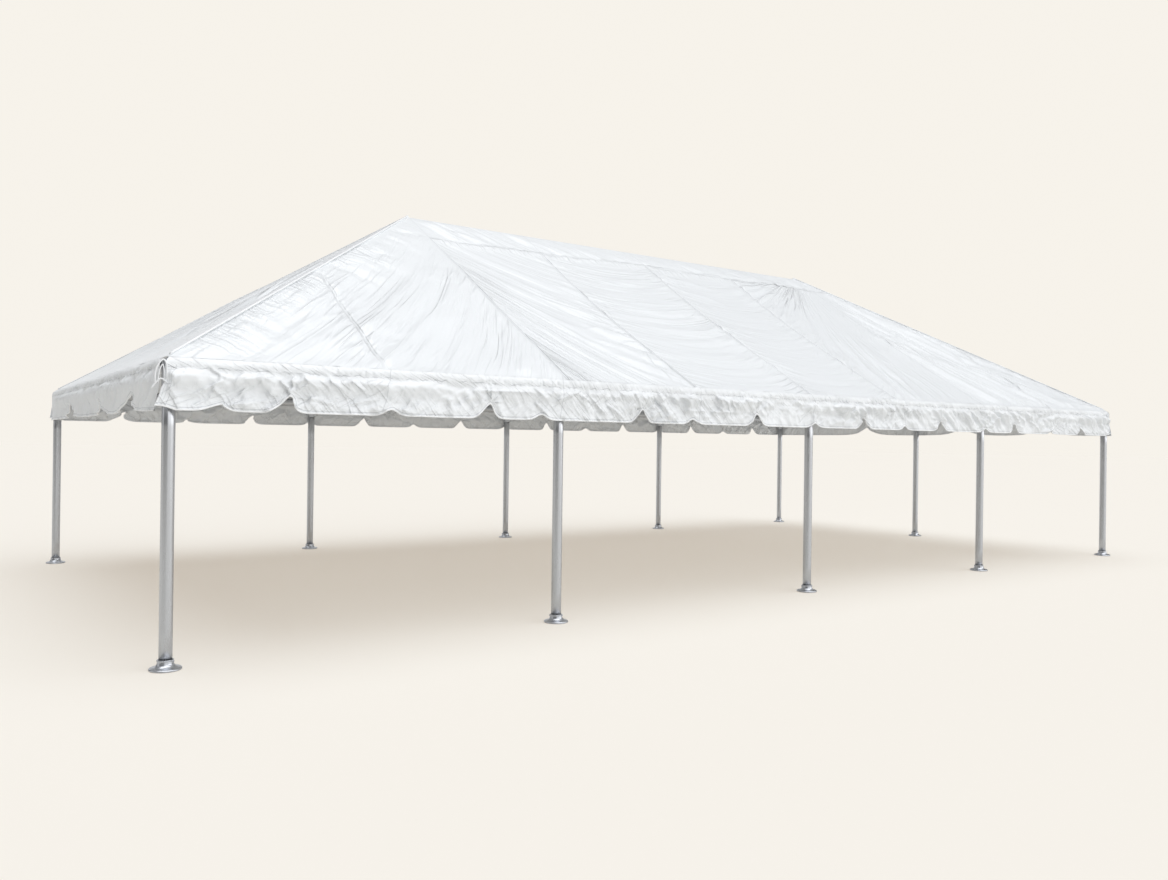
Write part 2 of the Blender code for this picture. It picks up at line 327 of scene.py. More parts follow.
COVER_WHITE = (0.853, 0.881, 0.909)
LINE_GREY = (0.42, 0.44, 0.47)
COVER_RELIEF = 0.022
# How far each seam lies off its straight line at the eave, half way up and at the ridge
SEAM_DRIFT = {
    -2: (0.08, 0.05, 0.0), -1: (-0.03, -0.13, -0.08), 0: (-0.02, -0.12, -0.03),
    1: (-0.16, -0.22, -0.07), 2: (-0.04, -0.08, 0.0)}
# Which way the gathers lean beside each seam, from the left hip to the right one
LEAN_UP_TO = [k * PANEL for k in (-3, -2.5, -2, -1.5, -1, -0.5, 0, 0.5, 1, 1.5, 2)]
LEANS = [1.2, -1.2, 1.6, 1.9, -0.65, 0.55, 0.50, 0.55, 0.50, -0.7, 1.2]


def fade(value, low, high):
    part = np.clip((value - low) / (high - low), 0, 1)
    return part * part * (3 - 2 * part)


def bell(value, width):
    return np.exp(-((value / width) ** 2))


def noise(u, v, seed):
    table = np.random.default_rng(seed).uniform(-1, 1, (61, 67))
    i = np.floor(u).astype(int)
    j = np.floor(v).astype(int)
    a = u - i
    b = v - j
    a = a ** 3 * (a * (6 * a - 15) + 10)
    b = b ** 3 * (b * (6 * b - 15) + 10)
    low = table[i % 61, j % 67] * (1 - a) + table[(i + 1) % 61, j % 67] * a
    high = table[i % 61, (j + 1) % 67] * (1 - a) + table[(i + 1) % 61, (j + 1) % 67] * a
    return low * (1 - b) + high * b


def to_nearest(value, spacing):
    """The distance to the nearest of evenly spaced lines."""
    return np.abs(value / spacing - np.round(value / spacing)) * spacing


def hold_off(folds, deepest):
    """Stops the hollows softly at what lies behind the cloth."""
    return np.where(folds < 0, -deepest * np.tanh(-folds / deepest), folds)


def uneven(base, gain, least, u, v, seed):
    """A share that is larger here and smaller there."""
    return base + gain * np.maximum(noise(u, v, seed), least)


def pleats(across, along, width, length, seed):
    """Heights of long folds: broad hollows between narrow crests that wander and fork."""
    a = across / width
    b = along / length
    a = a + 0.4 * noise(a / 2.5, b * 0.7 + 9, seed + 7)
    broad = noise(a, b, seed)
    fine = noise(a * 2.3 + 5, b * 1.6, seed + 3)
    return width * 0.30 * (broad + 0.35 * fine + 0.30 * bell(broad + 0.3 * fine, 0.30))


def puckers(away, down, lean, width, reach, seed):
    """Heights of the short folds that a seam gathers: close together, some long, some short."""
    far = reach * (1 + 0.6 * noise(down / (2.5 * width), 2, seed + 1))
    strength = bell(away, far) * fade(away, -0.001, 0.03)
    strength = strength * (0.55 + 0.6 * noise(down / (6 * width), 4, seed + 2))
    return strength * pleats((down - lean * away) / math.hypot(1, lean), away, width, 2 * reach, seed)


def crease(u, w, start_u, start_w, stop_u, stop_w, bow, width, rise):
    """A single fold from one place to another, straight or bowed, fading at its ends."""
    run_u, run_w = stop_u - start_u, stop_w - start_w
    length = math.hypot(run_u, run_w)
    along = ((u - start_u) * run_u + (w - start_w) * run_w) / length
    off = ((u - start_u) * run_w - (w - start_w) * run_u) / length
    share = np.clip(along / length, 0, 1)
    off = off - bow * 4 * share * (1 - share)
    inside = fade(along, -0.1 * length, 0.25 * length) * (1 - fade(along, 0.6 * length, 1.1 * length))
    return rise * inside * bell(off, width)


def long_side_folds(p, d, s):
    """Folds of a long slope. p runs along the eave, d is the plan distance from it, s a seed.
    Returns the heights, then the places across and along the folds and the strength of three
    layers of finer relief (folds, puckers beside the seams, edges), then where cloth is double."""
    down = (HALF_WIDTH - d) / COS
    climb = d / COS
    side = np.abs(p)
    from_hip = (HALF_LENGTH - side - d) / math.sqrt(2)
    off_hip = fade(from_hip, 0.0, 0.20)
    off_eave = fade(climb, 0.06, 0.13)
    to_seam = to_nearest(p, PANEL)
    h = np.zeros_like(p)

    # The double layer along the ridge, with soft folds that fan from the first apex
    edge = np.where(
        p < -1.5, 0.50 + 0.05 * fade(-p, 1.5, 2.6), np.maximum(0.50 - 0.055 * (p + 1.5), 0.42))
    edge = edge + 0.02 * np.sin(4 * p)
    band = fade(down, edge - 0.01, edge + 0.05)
    top = (1 - fade(down, edge - 0.06, edge + 0.01)) * fade(down, 0.0, 0.30) * (side < APEX)
    top = top * fade(APEX - side, 0.0, 0.3)
    ridge_across = (p + APEX - 0.9 * down) * 0.74
    h += top * 0.34 * pleats(ridge_across, down, 0.16, 0.6, s + 41)
    h += top * 0.24 * pleats(ridge_across, down, 0.07, 0.4, s + 42)
    tick = bell(np.maximum(down - edge, 0), 0.13) * fade(down, edge - 0.05, edge) * (side < APEX)
    h += tick * 0.22 * pleats(p, down, 0.035, 0.4, s + 43) * (0.6 + 0.5 * noise(p / 0.3, 0, s + 44))

    # Left of the first section seam: folds run down and to the left
    out = np.maximum(-APEX - p, 0)
    beyond = p < -APEX
    left = beyond * off_hip * off_eave
    left_across = (down - 1.1 * out - 0.9 * (1 - np.exp(-out / 0.8))) * 0.60
    left_along = out + 0.3 * down
    grow = fade(down, 0.8, 2.6)
    for rise, width, length, own, share in (
            (0.34, 0.065, 0.60, 11, (0.30 + 0.70 * grow) * fade(out, 0.0, 0.10)),
            (0.32, 0.12, 1.0, 12, (0.25 + 0.75 * grow) * fade(out, 0.0, 0.2)),
            (0.16, 0.24, 1.5, 13, fade(down, 1.6, 3.2) * fade(out, 0.0, 0.3))):
        h += left * rise * share * pleats(left_across, left_along, width, length, s + own)
    h += beyond * off_eave * 0.8 * puckers(out, down, 1.6, 0.05, 0.35, s + 14) * fade(down, 1.0, 2.5)
    hip_line = (out - d + HALF_WIDTH) / math.sqrt(2)
    gathers = puckers(np.maximum(from_hip, 0) * 1.2, hip_line, -0.1, 0.085, 0.34, s + 15)
    h += beyond * off_eave * 0.75 * fade(out, 0, 0.2) * fade(from_hip, 0.02, 0.16) * gathers

    # First panel right of it: folds hang from the seam and run down to the right
    x = p + APEX
    inside = (x > 0) * (x < PANEL) * band * off_eave
    drop = (2.0 * x - 0.5 * x * x) * (0.70 + 0.50 * fade(down - 1.3 * x, 0.8, 2.2))
    first_across = (down - drop) * 0.58
    ends = fade(x, 0.0, 0.10) * fade(PANEL - x, 0, 0.25)
    h += inside * ends * 0.20 * pleats(first_across, x, 0.10, 1.1, s + 21) * fade(down - drop, -0.3, 0.5)
    share = (0.3 + 0.7 * fade(down, 0.9, 2.4)) * fade(down - drop, -0.5, 0.4)
    h += inside * ends * 0.42 * pleats(first_across, x, 0.05, 0.7, s + 22) * share
    gathers = puckers(np.maximum(PANEL - x, 0), down, -0.65, 0.065, 0.50, s + 24)
    h += inside * 0.9 * gathers * (0.30 + 0.70 * fade(down, 1.4, 2.2))

    # The middle panels hang in shallow curves between their seams
    middle_across = np.zeros_like(p)
    for start, own in ((-PANEL, 31), (0.0, 51)):
        x = p - start
        rest = PANEL - x
        inside = (x > 0) * (x < PANEL) * band * off_eave
        across = down - 0.50 * x + 0.33 * x * x
        middle_across = np.where((x > 0) * (x < PANEL), across, middle_across)
        share = fade(x, 0.0, 0.12) * fade(rest, 0, 0.12) * (1 - 0.5 * fade(down, 2.0, 2.8))
        share = share * uneven(0.35, 0.8, -0.3, x * 1.3, down * 1.1, s + own + 1)
        h += inside * share * 0.42 * pleats(across, x, 0.085, 0.9, s + own)
        h += inside * 0.9 * puckers(np.maximum(x, 0), down, 0.55, 0.045, 0.26, s + own + 2)
        h += inside * 0.9 * puckers(np.maximum(rest, 0), down, 0.50, 0.045, 0.30, s + own + 3)

    # Before the second apex the folds fan out from it
    x = np.maximum(APEX - p, 0)
    inside = (p > PANEL) * (p < APEX) * off_eave
    r = np.hypot(x, down) + 1e-6
    turn = np.arctan2(down, x)
    fan_across = turn * 1.5
    strong = bell(turn - 0.65, 0.38) * fade(r, 0.05, 0.5) * (1 - 0.8 * fade(r, 1.4, 2.4))
    steep = bell(turn - 1.22, 0.17) * fade(r, 1.6, 2.6)
    reach = fade(PANEL - x, 0, 0.20) * np.minimum(r, 1.6)
    h += inside * reach * pleats(fan_across, r, 0.075, 1.6, s + 61) * (0.44 * strong + 0.30 * steep)
    h += inside * reach * pleats(fan_across, r, 0.032, 0.9, s + 62) * (0.44 * strong + 0.35 * steep)
    h += inside * 0.8 * band * puckers(np.maximum(PANEL - x, 0), down, -0.7, 0.045, 0.25, s + 64)

    # Right of the second section seam: broad drapes run down to the right
    x = np.maximum(p - APEX, 0)
    beyond = p > APEX
    right = beyond * off_hip * off_eave * fade(x, 0.0, 0.2)
    right_across = (down - 3.1 * x + 0.55 * x * x) * 0.36
    right_along = x + 0.3 * down
    h += right * pleats(right_across, right_along, 0.105, 2.6, s + 71) * (0.45 + 0.55 * fade(down, 0.6, 1.6))
    h += right * 0.6 * pleats(right_across, right_along, 0.045, 1.2, s + 72)
    hip_line = (x - d + HALF_WIDTH) / math.sqrt(2)
    gathers = puckers(np.maximum(from_hip, 0), hip_line, 0.9, 0.10, 0.36, s + 75)
    h += beyond * off_eave * 0.35 * fade(x, 0, 0.25) * fade(from_hip, 0.02, 0.16) * gathers
    h = h * (0.6 + 0.4 * fade(to_seam, 0.0, 0.10))

    # Finer relief that follows the folds
    where = [down < edge, p < -APEX, p < -PANEL, p < PANEL, p < APEX]
    flow_across = np.select(
        where, [ridge_across, left_across, first_across, middle_across, fan_across], right_across)
    flow_along = np.select(where, [down, left_along, p, p, r], right_along)
    strengths = [
        0.40, 0.22 + 0.32 * grow, 0.30 + 0.90 * fade(down - 0.8 * (p + APEX), 0.4, 1.6),
        uneven(0.35, 0.5, 0, p * 1.3, down * 1.1, s + 91), 0.35 + 1.2 * strong + 0.9 * steep]
    by_eave = fade(climb, 0.0, 0.03)
    amount = np.select(where, strengths, 0.85)
    amount = amount * (0.45 + 0.55 * fade(noise(flow_across / 0.34, flow_along / 1.1, s + 94), -0.35, 0.55))
    amount = amount * fade(to_seam, 0.0, 0.03) * fade(np.abs(down - edge), 0.0, 0.05)
    amount = amount * by_eave * fade(from_hip, 0, 0.1)

    # The puckers beside each seam
    nearest = np.clip(np.round(p / PANEL), -3, 3)
    away = np.abs(p - nearest * PANEL)
    lean = np.select([p < limit for limit in LEAN_UP_TO], LEANS, 1.6)
    pucker_across = (down - lean * away) / np.hypot(1, lean)
    far = 0.26 * (1 + 0.5 * noise(down / 0.15, nearest, s + 92))
    gathered = bell(away, far) * band * by_eave * (0.45 + 0.55 * fade(down, 1.0, 2.0))
    gathered = gathered * fade(away, 0.0, 0.03) * fade(from_hip, 0.0, 0.15)
    gathered = gathered * uneven(0.32, 0.45, 0, down / 0.4, nearest * 3.0, s + 93)

    # The puckers along the hips, and under the edge of the double layer
    along_hip = (side - APEX - d + HALF_WIDTH) / math.sqrt(2)
    hip_lean = np.where(p < 0, -0.1, 0.6)
    edge_across = np.where(side > APEX, (along_hip - hip_lean * from_hip) / np.hypot(1, hip_lean), p)
    edge_away = np.where(side > APEX, from_hip, down - edge)
    hip_amount = bell(from_hip, 0.20 + 0.08 * noise(along_hip / 0.25, 0, s + 95)) * by_eave
    hip_amount = hip_amount * fade(from_hip, 0.0, 0.03) * fade(side - APEX, 0.0, 0.15)
    hip_amount = hip_amount * (0.2 + 0.9 * fade(noise(along_hip / 0.35, 0, s + 96), -0.2, 0.4))
    ridge_amount = 0.9 * tick * fade(down, edge, edge + 0.02) * fade(APEX - side, 0, 0.1)
    edge_amount = np.where(side > APEX, hip_amount, ridge_amount)
    doubled = (1 - band) * (side < APEX)
    return np.stack([
        h, flow_across, flow_along, amount, pucker_across, away, gathered, edge_across, edge_away,
        edge_amount, doubled])


def end_folds(p, d, s):
    """Folds of an end slope, which run from the apex down to the eave. Returns the same values."""
    down = (HALF_WIDTH - d) / COS
    from_hip = (HALF_WIDTH - np.abs(p) - d) / math.sqrt(2)
    off_hip = fade(from_hip, 0.0, 0.35)
    off_eave = fade(d / COS, 0.05, 0.80)
    spread = np.sin(p / (HALF_WIDTH - d + 0.25) * 1.2) * 1.6
    grow = fade(down, 0.2, 2.2)
    h = off_hip * off_eave * 0.60 * pleats(spread, down, 0.10, 1.6, s + 81) * grow
    h += off_hip * off_eave * 0.48 * pleats(spread, down, 0.045, 0.9, s + 82) * (0.3 + 0.7 * grow)
    h += off_hip * off_eave * 0.26 * pleats(spread + 3, down, 0.24, 2.0, s + 84) * (0.4 + 0.6 * grow)
    gathers = puckers(np.maximum(from_hip, 0), down, 0.3, 0.06, 0.25, s + 83)
    h += off_eave * 0.08 * gathers * grow * fade(from_hip, 0.05, 0.20)
    amount = off_hip * fade(d / COS, 0.0, 0.03) * (0.55 + 0.7 * grow)
    gathered = 0.5 * bell(from_hip, 0.20) * off_eave * fade(from_hip, 0, 0.03) * fade(down, 0.8, 2.2)
    along_hip = (np.abs(p) - d + HALF_WIDTH) / math.sqrt(2)
    none = np.zeros_like(p)
    return np.stack([
        h, spread, down, amount, p, d, none, along_hip - 0.3 * from_hip, from_hip, gathered, none])


# The folds that stand out most on the near slope: where each starts and stops, as distance along
# the eave and distance down from the ridge, then its bow, width and height.
FRONT_FOLDS = (
    (-2.95, 0.1, -2.1, 0.57, 0.0, 0.05, 0.01), (-3.0, 0.3, -2.55, 0.55, 0.0, 0.035, 0.006),
    (-2.95, 0.95, -1.7, 2.3, 0.05, 0.03, 0.006), (-2.15, 2.35, -1.72, 2.7, 0.02, 0.03, 0.008),
    (-2.2, 2.72, -1.75, 2.95, 0.02, 0.03, 0.008), (-2.2, 3.0, -1.75, 3.25, 0.02, 0.03, 0.007),
    (-2.95, 2.15, -2.2, 3.5, 0.05, 0.03, 0.006), (-2.7, 2.4, -2.25, 3.25, 0.04, 0.028, 0.005),
    (-1.15, 1.15, -0.4, 1.14, 0.03, 0.028, 0.004), (-0.9, 1.47, -0.2, 1.31, 0.02, 0.028, 0.005),
    (-0.1, 0.85, 0.9, 0.95, 0.13, 0.035, 0.008), (0.0, 1.12, 0.8, 1.45, 0.1, 0.03, 0.006),
    (-0.1, 2.15, 1.1, 2.2, 0.1, 0.028, 0.004), (2.8, 0.08, 1.25, 0.85, 0.0, 0.028, 0.012),
    (2.82, 0.12, 1.25, 1.05, 0.0, 0.03, 0.014), (2.84, 0.17, 1.27, 1.28, 0.0, 0.03, 0.012),
    (2.86, 0.24, 1.3, 1.55, 0.0, 0.03, 0.01), (2.86, 0.34, 1.32, 1.86, 0.0, 0.03, 0.009),
    (2.84, 0.5, 1.36, 2.12, 0.0, 0.028, 0.006), (2.5, 2.35, 2.05, 3.3, 0.02, 0.035, 0.009),
    (2.48, 1.5, 2.25, 1.95, 0.0, 0.028, 0.005), (2.98, 1.83, 3.85, 3.5, 0.05, 0.04, 0.024),
    (3.43, 2.3, 4.12, 3.5, 0.04, 0.032, 0.018), (3.25, 1.65, 3.98, 2.9, 0.04, 0.028, 0.014),
    (3.2, 0.7, 3.58, 1.8, 0.02, 0.028, 0.012), (4.36, 1.8, 4.28, 3.35, -0.1, 0.045, -0.012),
    (4.5, 2.95, 4.98, 3.48, 0.02, 0.035, 0.012), (5.4, 2.95, 5.08, 3.33, 0.0, 0.03, 0.008),
    (3.75, 1.4, 4.6, 2.95, 0.05, 0.035, 0.014), (-3.2, 2.1, -3.9, 3.48, -0.03, 0.035, 0.006),
    (-3.28, 1.75, -3.58, 2.35, -0.02, 0.03, 0.004), (-3.52, 2.4, -4.0, 3.1, -0.02, 0.03, 0.006),
    (-3.9, 2.85, -4.35, 3.45, 0.0, 0.03, 0.007), (-4.6, 2.35, -5.12, 3.12, 0.0, 0.03, 0.007),
    (-4.58, 2.85, -5.1, 3.45, 0.0, 0.03, 0.007), (-3.02, 2.85, -3.28, 3.45, 0.0, 0.028, 0.006))

# The lines of the grid lie close together beside each seam and evenly between
half_panel = CELLS // 2
even_count = half_panel - len(SEAM_ROWS) + 1
even_step = (PANEL / 2 - SEAM_ROWS[-1]) / even_count
half_lines = list(SEAM_ROWS) + [SEAM_ROWS[-1] + even_step * (k + 1) for k in range(even_count)]
one_panel = half_lines + [PANEL - x for x in reversed(half_lines[:-1])]
last_half = [PANEL / 2 + (k + 1) / half_panel * (PANEL / 2 - COVER_MARGIN) for k in range(half_panel)]
across_lines = np.array(one_panel[:-1] + [PANEL + x for x in half_lines + last_half])
length_lines = np.concatenate([one_panel[:-1], [PANEL + x for x in one_panel[:-1]], across_lines + 2 * PANEL])

shape = bmesh.new()
bmesh.ops.create_grid(
    shape, x_segments=8 * CELLS, y_segments=4 * CELLS, size=1.0,
    matrix=Matrix.Diagonal((4 * CELLS, 2 * CELLS, 1, 1)))
for vert in shape.verts:
    i, j = round(vert.co.x), round(vert.co.y)
    vert.co.x = math.copysign(length_lines[abs(i)], i)
    vert.co.y = math.copysign(across_lines[abs(j)], j)
for end, side, corner_name in CORNERS:
    near = [
        f for f in shape.faces
        if end * f.calc_center_median().x > APEX and side * f.calc_center_median().y > 0]
    parts = set(near)
    parts.update(v for f in near for v in f.verts)
    parts.update(e for f in near for e in f.edges)
    bmesh.ops.bisect_plane(
        shape, geom=list(parts), dist=1e-5, plane_co=(end * APEX, 0, 0), plane_no=(end, -side, 0))
cover_mesh = mesh_of("cover_sheet", shape)


def read_all(items, key, count=1, kind=float):
    """What a mesh holds for each vertex, face or corner, as one array."""
    values = np.empty(count * len(items), dtype=kind)
    items.foreach_get(key, values)
    return values.reshape(-1, count) if count > 1 else values


def keep_layer(mesh, layer, values):
    """Keeps three numbers for each vertex, which a finish reads."""
    kept = mesh.attributes.new(layer, "FLOAT_VECTOR", "POINT")
    kept.data.foreach_set("vector", np.stack(values, axis=1).ravel())


place = read_all(cover_mesh.vertices, "co", 3)
plan_x, plan_y = place[:, 0].copy(), place[:, 1].copy()
aside = np.abs(plan_y)
beyond = np.abs(plan_x) - APEX
on_end = beyond > aside
inward = HALF_WIDTH - np.where(on_end, beyond, aside)
woven = np.where(
    on_end,
    np.where(plan_x < 0, end_folds(-plan_y, inward, 0), end_folds(plan_y, inward, 500)),
    np.where(plan_y <= 0, long_side_folds(plan_x, inward, 0), long_side_folds(-plan_x, inward, 300)))
fold = woven[0] * FOLD_GAIN
long_folds = np.zeros_like(fold)
for one_fold in FRONT_FOLDS:
    long_folds += LONG_FOLD_GAIN * crease(plan_x, (HALF_WIDTH - inward) / COS, *one_fold)
off_edges = fade(inward, 0.05, 0.12) * fade(np.abs(beyond - aside), 0.0, 0.10)
fold = fold + np.where((plan_y < 0) * ~on_end, long_folds * off_edges, 0)

# The seams stand up, and the cloth sags between the rafters, the hips and the ridge
seam_gap = to_nearest(np.where(on_end, plan_y, plan_x), PANEL)
by_hip_panel = np.abs(plan_x) > 2.5 * PANEL
seam = np.interp(seam_gap, SEAM_ROWS, SEAM_RISE) * fade(inward, 0.0, 0.1)
seam = seam * np.select([np.abs(beyond) < 0.05, by_hip_panel], [1.5, 0.6], 1.0)
to_end_rafter = np.minimum(aside, (HALF_WIDTH - inward - aside) / math.sqrt(2))
to_rafter = np.where(on_end, to_end_rafter, to_nearest(plan_x, APEX))
to_hip = np.where(beyond > 0, np.abs(beyond - aside) / math.sqrt(2), aside)
hollow = np.where(on_end, 0.4, 1.0) * SAG
for gap in (to_rafter, to_hip, np.maximum(inward - 0.06, 0)):
    hollow = hollow * (1 - np.exp(-gap / SAG_REACH))
rounded = np.sqrt(plan_y ** 2 + RIDGE_ROUNDING ** 2)
reach = np.where(on_end, beyond, np.where(beyond > 0, aside, rounded))
deepest = 0.006 + np.where(on_end, 0.002, 0.012) * fade(np.minimum(to_rafter, to_hip), 0.05, 0.30)
lift = hold_off(fold, deepest) + seam - hollow
place[:, 2] = PEAK - FALL * reach + lift / COS

# Each seam wanders a little from its straight line, more half way down than at its ends
seams = [-HALF_LENGTH, -3 * PANEL] + [k * PANEL for k in SEAM_DRIFT] + [3 * PANEL, HALF_LENGTH]
high = np.clip(inward / HALF_WIDTH, 0, 1)
drift = np.zeros_like(plan_x)
for slope, mirrored in ((plan_y <= 0, 1), (plan_y > 0, -1)):
    for level in range(3):
        if level == 2:
            shifts = [SEAM_DRIFT[k][level] for k in SEAM_DRIFT]
        else:
            shifts = [mirrored * SEAM_DRIFT[mirrored * k][level] for k in SEAM_DRIFT]
        share = fade(1 - np.abs(high * 2 - level), 0, 1)
        drift += slope * share * np.interp(plan_x, seams, [0, 0] + shifts + [0, 0])
place[:, 0] += drift * (~on_end) * fade(to_hip + np.maximum(-beyond, 0), 0.0, 0.25)
cover_mesh.vertices.foreach_set("co", place.ravel())

# What the finish reads: the finer relief, the place on the cloth and the flat pattern
from_seam = (plan_x - np.round(plan_x / PANEL) * PANEL) * np.where(plan_y < 0, 1, -1)
seam_side = np.where(on_end + by_hip_panel, -seam_gap - SEAM_EDGE, from_seam)
keep_layer(cover_mesh, "folds", woven[1:4])
keep_layer(cover_mesh, "puckers", woven[4:7])
keep_layer(cover_mesh, "edges", woven[7:10])
keep_layer(cover_mesh, "cloth", (woven[10], inward, seam_side))
cloth_map = cover_mesh.uv_layers.new(name="cloth")
corners = read_all(cover_mesh.loops, "vertex_index", kind=int)
sizes = read_all(cover_mesh.polygons, "loop_total", kind=int)
middles = read_all(cover_mesh.polygons, "center", 3)
end_face = np.repeat(np.abs(middles[:, 0]) - APEX > np.abs(middles[:, 1]), sizes)
flat_u = np.where(end_face, plan_y[corners], plan_x[corners])
flat_v = (HALF_WIDTH - np.where(end_face, beyond[corners], aside[corners])) / COS
cloth_map.data.foreach_set("uv", np.stack([flat_u, flat_v], axis=1).ravel())


def read_layer(tree, layer):
    source = add_node(tree, "Attribute", {}, attribute_name=layer)
    return add_node(tree, "SeparateXYZ", {"Vector": source.outputs["Vector"]}).outputs


def fold_relief(tree, layer, scale, detail):
    """Narrow crests and soft hollows that follow the two coordinates of a layer, times its third."""
    split = read_layer(tree, layer)
    flat = add_node(tree, "CombineXYZ", {"X": split["X"], "Y": split["Y"]})
    stretch = add_node(tree, "Mapping", {"Vector": flat.outputs["Vector"], "Scale": (*scale, 1)})
    cloud = add_node(tree, "TexNoise", {"Vector": stretch.outputs["Vector"], "Scale": 1.0, "Detail": detail})
    off_middle = add_math(tree, "ABSOLUTE", add_math(tree, "SUBTRACT", cloud.outputs["Fac"], 0.5))
    crest = add_range(tree, off_middle, 0.0, 0.11, 1.0, 0.0)
    height = add_math(tree, "MULTIPLY_ADD", crest, 0.45, cloud.outputs["Fac"])
    return add_math(tree, "MULTIPLY", height, split["Z"])


def thin_line(tree, value, middle, near, far, strength):
    """A thin line, soft from near to far on both sides of where the value passes its middle."""
    off = add_math(tree, "ABSOLUTE", add_math(tree, "SUBTRACT", value, middle))
    return add_range(tree, off, near, far, strength, 0.0)


def draw_lines(tree, shader, lines, colour):
    """Shades a cloth with grey lines and brings them to its shader."""
    shade = add_node(tree, "Mix", {0: lines, 6: (*colour, 1), 7: (*LINE_GREY, 1)}, data_type="RGBA")
    tree.links.new(shade.outputs[2], shader.inputs["Base Color"])


def raise_relief(tree, shader, height, distance):
    relief = add_node(tree, "Bump", {"Strength": 1.0, "Distance": distance, "Height": height})
    tree.links.new(relief.outputs["Normal"], shader.inputs["Normal"])


vinyl, tree, shader = new_finish("white_vinyl", COVER_WHITE, 0.30)
shader.inputs["Specular IOR Level"].default_value = 0.50
gathers = add_math(
    tree, "MULTIPLY_ADD", fold_relief(tree, "puckers", (8.5, 2.2), 1.0), 1.3,
    fold_relief(tree, "edges", (11, 1.8), 1.0))
folds_and_gathers = add_math(tree, "ADD", fold_relief(tree, "folds", (12, 1.0), 1.2), gathers)
raise_relief(tree, shader, folds_and_gathers, COVER_RELIEF)
on_cloth = read_layer(tree, "cloth")
seam_line = add_math(
    tree, "ADD", thin_line(tree, on_cloth["Z"], SEAM_EDGE, 0.0025, 0.0060, 0.95),
    thin_line(tree, on_cloth["Z"], -SEAM_EDGE, 0.001, 0.0035, 0.18))
seam_line = add_math(tree, "MULTIPLY", seam_line, add_range(tree, on_cloth["X"], 0.2, 0.8, 1.0, 0.30))
seam_line = add_math(tree, "MULTIPLY", seam_line, add_range(tree, on_cloth["Y"], 0.02, 0.05, 0.0, 0.85))
draw_lines(tree, shader, seam_line, COVER_WHITE)
cover = add_piece("cover_sheet", cover_mesh, vinyl)
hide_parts("roof_front", "roof_back", "roof_left_end", "roof_right_end")

# Hip welts
# A round cord in a folded strip of the same vinyl, welded into the cover along each hip, where
# the end slope and the long slope meet. It is part of the same sheet.
WELT_RADIUS = 0.0085
WELT_LIFT = 0.003
WELT_SIDES = 8
welt_vinyl = new_finish("welt_vinyl", (0.90, 0.92, 0.94), 0.36)[0]


def sweep_cord(name, line, radius, sides, material):
    """A round cord along a line of places, with closed ends."""
    line = [Vector(spot) for spot in line]
    shape = bmesh.new()
    rings = []
    for k, spot in enumerate(line):
        run = (line[min(k + 1, len(line) - 1)] - line[max(k - 1, 0)]).normalized()
        across = run.cross(Vector((0, 0, 1)) if abs(run.z) < 0.9 else Vector((1, 0, 0))).normalized()
        upward = across.cross(run)
        rings.append([
            shape.verts.new(spot + radius * (math.cos(a) * across + math.sin(a) * upward))
            for a in (math.tau * n / sides for n in range(sides))])
    for one, two in zip(rings, rings[1:]):
        for n in range(sides):
            shape.faces.new((one[n], one[(n + 1) % sides], two[(n + 1) % sides], two[n]))
    shape.faces.new(rings[0])
    shape.faces.new(rings[-1])
    bmesh.ops.recalc_face_normals(shape, faces=shape.faces)
    return add_piece(name, mesh_of(name, shape), material)


on_hip = (beyond > -1e-6) * (np.abs(np.abs(beyond) - aside) < 1e-4) * (inward > 0.05)
hips = np.where(on_hip)[0]
for end, side, corner_name in CORNERS:
    own = [k for k in hips if end * plan_x[k] > 0 and side * plan_y[k] > 1e-6]
    own.sort(key=lambda k: aside[k])
    line = [(place[k, 0], place[k, 1], place[k, 2] + WELT_LIFT) for k in own]
    sweep_cord("welt_" + corner_name, line, WELT_RADIUS, WELT_SIDES, welt_vinyl)

# Valances
# A skirt of the same vinyl on each side. It goes over the eave rail under the edge of the roof
# cloth, is drawn tight round the tube, and hangs to a bound hem with bell-shaped notches.
RAIL_IN = 0.0538
RAIL_Z = 1.9504
ROLL_RADIUS = 0.0525
TUCK = 0.060
SLOPE_ROWS = np.array([TUCK, 0.048, 0.037])
ARC_ROWS = 10
DROP_ROWS = 30
ARC_TURN = math.pi / 2 - math.atan(FALL)
HEM = 1.660
HEM_RADIUS = 0.0055
HEM_LIFT = 0.026
DEEP = 0.115
SHALLOW = 0.045
END_DEEP = 0.135
LONG_NOTCH = (0.063, 1.8)
END_NOTCH = (0.150, 1.05)
PATCH = 0.068
PATCH_THICK = 0.0030
SKIRT_WHITE = (0.872, 0.896, 0.922)
BINDING_WHITE = (0.93, 0.945, 0.96)
SKIRT_RELIEF = 0.009


def facets(u, w, size, s):
    """Flat dents that meet in sharp creases, as in stiff cloth that has been folded and packed."""
    out = np.zeros_like(u)
    for turn in (0.35, 1.25, 2.4):
        a = (u * math.cos(turn) + w * math.sin(turn)) / size
        b = (w * math.cos(turn) - u * math.sin(turn)) / (1.5 * size)
        out += (0.22 - np.abs(noise(a, b, s))) * size * 0.16
        s += 1
    return out


